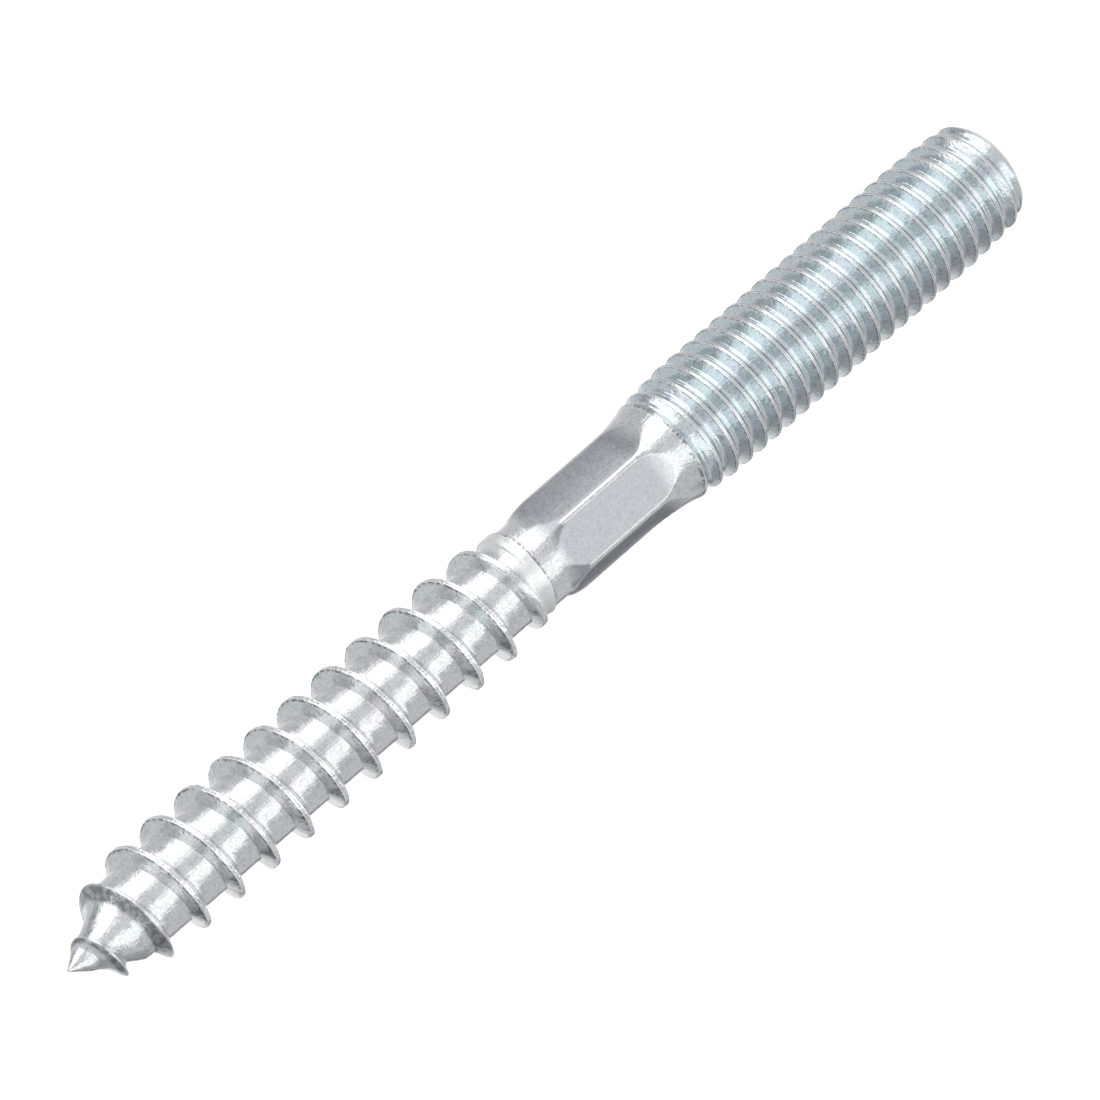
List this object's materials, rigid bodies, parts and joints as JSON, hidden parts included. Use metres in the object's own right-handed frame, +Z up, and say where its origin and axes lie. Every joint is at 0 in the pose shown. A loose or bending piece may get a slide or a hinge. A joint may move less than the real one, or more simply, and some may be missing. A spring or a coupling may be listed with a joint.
{
  "type": "hanger bolt",
  "caption": "Hanger bolt with a wood thread and gimlet point at one end, a pressed hexagonal shank and a machine-thread end.",
  "frame": {"origin": "centre of the flat machine end, which the bolt stands on", "axes": "+Z up along the bolt's axis to the point, -Y out of one flat of the hexagonal shank"},
  "size_m": [0.0078, 0.0078, 0.079],
  "materials": {
    "zinc_plated_steel": "bright zinc plate, drawn and rolled"
  },
  "bodies": {
    "root": {"hanger_bolt": "zinc_plated_steel"}
  },
  "joints": []
}
